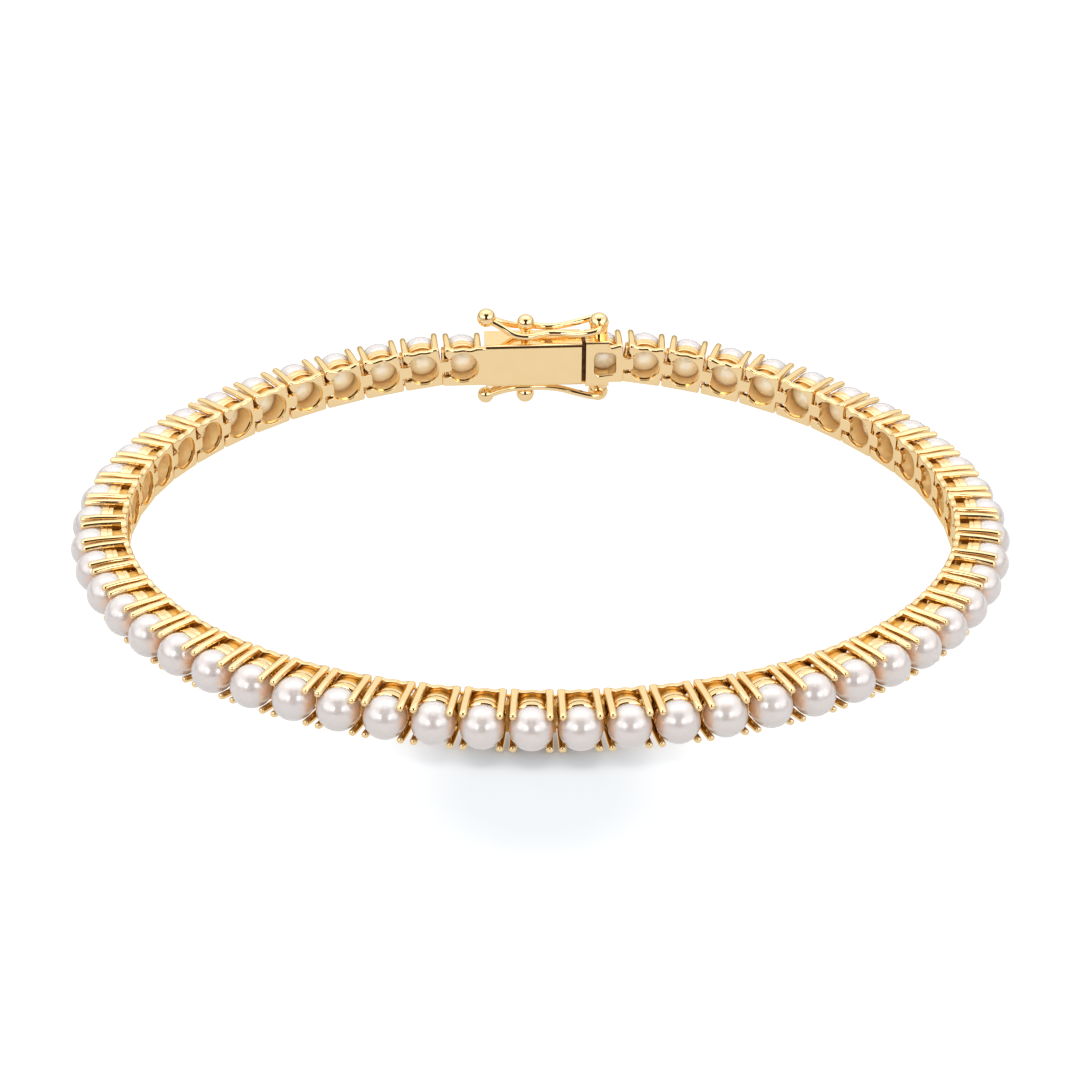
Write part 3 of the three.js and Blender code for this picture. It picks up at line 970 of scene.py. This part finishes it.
def pearl_mesh(number):
    """A pearl a little off a true sphere, never quite the same as the next.

    Its colour has painted light: a warm reflection of the gold where it faces its neighbours
    and below, and a lighter back, in the tube.
    """
    mesh = ball(PEARL_RADIUS, 48, 32)
    stretch = [1 + PEARL_VARIATION * math.sin(number * turn) for turn in (1.7, 2.9, 4.3)]
    painted_light = mesh.attributes.new("painted_light", "FLOAT_COLOR", "POINT")
    for vertex, colour in zip(mesh.vertices, painted_light.data):
        x, y, z = vertex.co / PEARL_RADIUS
        side = share_between(abs(x), PAINTED_SIDE_REFLECTION_START, PAINTED_SIDE_REFLECTION_FULL)
        below = share_between(-z, PAINTED_REFLECTION_BELOW_START, PAINTED_REFLECTION_BELOW_FULL)
        back = share_between(-y, PAINTED_BACK_LIGHT_START, PAINTED_BACK_LIGHT_FULL)
        painted_reflection = max(side, PAINTED_REFLECTION_BELOW * below) * (1 - back)
        colour.color = [
            (1 + (side_reflection - 1) * painted_reflection) * (1 + (back_light - 1) * back)
            for side_reflection, back_light in zip(PAINTED_SIDE_REFLECTION, PAINTED_BACK_LIGHT)
        ] + [1]
        for axis in range(3):
            vertex.co[axis] *= stretch[axis]
    return mesh


def add_rows():
    """Adds the settings and pearls of the band, in four stretches each."""
    link = setting()
    seat = Matrix.Translation((0, PEARL_DEPTH, 0))
    for i, place in enumerate(("left_back", "left_front", "right_front", "right_back")):
        numbers = range(2 + i * ROW_LINKS, 2 + (i + 1) * ROW_LINKS)
        links = joined([(link, link_frame(n)) for n in numbers])
        add_piece(f"settings_{place}", links, GOLDS, "bracelet", f"links_{place}")
        pearls = joined([(pearl_mesh(n), link_frame(n) @ seat) for n in numbers])
        add_piece(f"pearl_row_{place}", pearls, NACRE, "bracelet", f"pearls_{place}")


def add_clasp():
    """Adds the clasp, its two catches, and the pearls in its two settings."""
    clasp = Matrix.Translation(CLASP)
    for name, mesh, body, node in (
        ("clasp_box_body", clasp_box_mesh(), "bracelet", "clasp_box"),
        ("clasp_end_body", clasp_end_mesh(), "bracelet", "clasp_end"),
        ("safety_catch_top", catch_mesh(1), "catch_top", "catch_top"),
        ("safety_catch_bottom", catch_mesh(-1), "catch_bottom", "catch_bottom"),
    ):
        add_piece(name, mesh, GOLDS, body, node, clasp)
    for number, node in ((1, "pearl_by_box"), (PEARL_COUNT, "pearl_by_clasp_end")):
        seat = link_frame(number) @ Matrix.Translation((0, PEARL_DEPTH, 0))
        add_piece(f"end_{node}", pearl_mesh(number), NACRE, "bracelet", node, seat)


# ---------------------------------------------------------------- camera, floor and light


def direction(azimuth, elevation):
    """The way to a light or camera seen from the bracelet: azimuth 0 is in front of it."""
    a, e = math.radians(azimuth), math.radians(elevation)
    return Vector((math.sin(a) * math.cos(e), -math.cos(a) * math.cos(e), math.sin(e)))


def add_camera():
    """Adds the camera that matches the photograph's."""
    data = bpy.data.cameras.new("camera")
    data.sensor_width = 36
    data.lens = CAMERA_LENS
    data.clip_start = 0.01
    camera = bpy.data.objects.new("camera", data)
    bpy.context.scene.collection.objects.link(camera)
    back = direction(CAMERA_AZIMUTH, CAMERA_ELEVATION)
    camera.location = CAMERA_AIM + CAMERA_DISTANCE * back
    roll = Matrix.Rotation(math.radians(CAMERA_ROLL), 3, "Z").to_quaternion()
    camera.rotation_mode = "QUATERNION"
    camera.rotation_quaternion = (-back).to_track_quat("-Z", "Y") @ roll
    bpy.context.scene.camera = camera


def add_floor():
    """A pale table of frosted glass, lit from below.

    The camera sees it a little brighter than the gold and the pearls do, and sees it unlit near the
    bracelet's front, where the soft shadow falls.
    """
    r = FLOOR_HALF
    mesh = new_mesh("floor", [(-r, -r, 0), (r, -r, 0), (r, r, 0), (-r, r, 0)], [[0, 1, 2, 3]])
    floor = bpy.data.objects.new("floor", mesh)
    bpy.context.scene.collection.objects.link(floor)
    material, tree, shader = node_material("pale_floor")
    shader.inputs["Roughness"].default_value = 0.9
    shader.inputs["Specular IOR Level"].default_value = 0.0
    shader.inputs["Emission Color"].default_value = (1, 1, 1, 1)
    place = tree.nodes.new("ShaderNodeTexCoord")
    away = tree.nodes.new("ShaderNodeVectorMath")
    away.operation = "DISTANCE"
    away.inputs[1].default_value = PLAIN_CENTRE
    tree.links.new(place.outputs["Object"], away.inputs[0])
    lit = mapped(tree, away.outputs["Value"], PLAIN_RANGE, smooth=True)
    seen = tree.nodes.new("ShaderNodeLightPath").outputs["Is Camera Ray"]
    share = calculated(tree, "MAXIMUM", lit, calculated(tree, "SUBTRACT", 1, seen))
    exposure = mapped(tree, seen, (0, 1), (1, TABLE_TO_CAMERA))
    glow = calculated(tree, "MULTIPLY", share, TABLE_GLOW)
    strength = calculated(tree, "MULTIPLY", glow, exposure)
    tree.links.new(strength, shader.inputs["Emission Strength"])
    tone = two_tones(tree, noise(tree, 6), (0.39, 0.4, 0.41), (0.38, 0.39, 0.4))
    scaled = tree.nodes.new("ShaderNodeVectorMath")
    scaled.operation = "SCALE"
    base = mixed(tree, share, tone, (0.06, 0.06, 0.06, 1))
    tree.links.new(base, scaled.inputs["Vector"])
    tree.links.new(exposure, scaled.inputs["Scale"])
    tree.links.new(scaled.outputs["Vector"], shader.inputs["Base Color"])
    mesh.materials.append(material)


def add_area(name, azimuth, elevation, distance, width, height, power):
    """A rectangular lamp that faces the bracelet."""
    data = bpy.data.lights.new(name, "AREA")
    data.shape = "RECTANGLE"
    data.size = width
    data.size_y = height
    data.energy = power
    light = bpy.data.objects.new(name, data)
    bpy.context.scene.collection.objects.link(light)
    way = direction(azimuth, elevation)
    light.location = distance * way
    light.rotation_mode = "QUATERNION"
    light.rotation_quaternion = (-way).to_track_quat("-Z", "Y")
    return light


def add_world():
    """A white tent, brightest above and behind and dark along its foot."""
    world = bpy.data.worlds.new("studio")
    bpy.context.scene.world = world
    world.use_nodes = True
    tree = world.node_tree
    place = tree.nodes.new("ShaderNodeTexCoord").outputs["Generated"]
    towards = tree.nodes.new("ShaderNodeVectorMath")
    towards.operation = "DOT_PRODUCT"
    towards.inputs[1].default_value = direction(180, 50)
    tree.links.new(place, towards.inputs[0])
    tent = mapped(tree, towards.outputs["Value"], (0.2, 0.8), (FRONT_LIGHT, BACK_LIGHT), True)
    height = tree.nodes.new("ShaderNodeSeparateXYZ")
    tree.links.new(place, height.inputs["Vector"])
    foot = mapped(tree, height.outputs["Z"], (0.05, 0.3), (HORIZON_LIGHT, 1), True)
    background = tree.nodes["Background"]
    strength = calculated(tree, "MULTIPLY", tent, foot)
    tree.links.new(strength, background.inputs["Strength"])
    background.inputs["Color"].default_value = (1, 1, 1, 1)


def add_lamps():
    """A soft box and a key light behind, and a low fill light, lamps and panels in front."""
    add_area("overhead", 180, 70, 0.6, 0.8, 0.4, SOFTBOX_POWER)
    add_area("key", 180, 62, 0.6, 0.3, 0.2, KEY_POWER).visible_glossy = False
    add_area("fill", FRONT, 14, 0.5, 0.2, 0.12, FILL_POWER).visible_glossy = False
    for side in (-1, 1):
        add_area("lamp", FRONT + 30 * side, 29, 0.5, 0.15, 0.16, LAMP_POWER)
        add_area("panel", FRONT + 66 * side, 25, 0.5, 0.35, 0.3, PANEL_POWER)


def add_dark_screen():
    """A dark screen round the camera, narrow below and wide above, which the polish reflects."""
    columns = 9
    points = []
    for elevation in range(0, 71, 5):
        half = np.interp(elevation, *zip(*SCREEN_HALF_WIDTHS))
        for side in np.linspace(-half, half, columns):
            points.append(direction(FRONT + side, elevation) * SCREEN_RADIUS)
    faces = []
    for i in range(len(points) // columns - 1):
        for k in range(columns - 1):
            a = columns * i + k
            faces.append([a, a + 1, a + columns + 1, a + columns])
    mesh = new_mesh("dark_screen", points, faces)
    screen = bpy.data.objects.new("dark_screen", mesh)
    bpy.context.scene.collection.objects.link(screen)
    material, tree, shader = node_material("dark_cloth")
    tone = two_tones(tree, noise(tree, 60), (0.05, 0.025, 0.01), (0.04, 0.02, 0.008))
    tree.links.new(tone, shader.inputs["Base Color"])
    shader.inputs["Roughness"].default_value = 1
    shader.inputs["Specular IOR Level"].default_value = 0
    mesh.materials.append(material)
    screen.visible_camera = False
    screen.visible_shadow = False
    screen.visible_diffuse = False


# ---------------------------------------------------------------- the scene

add_camera()
add_floor()
add_world()
add_lamps()
add_dark_screen()
add_rows()
add_clasp()
bpy.context.scene.view_settings.view_transform = "Standard"
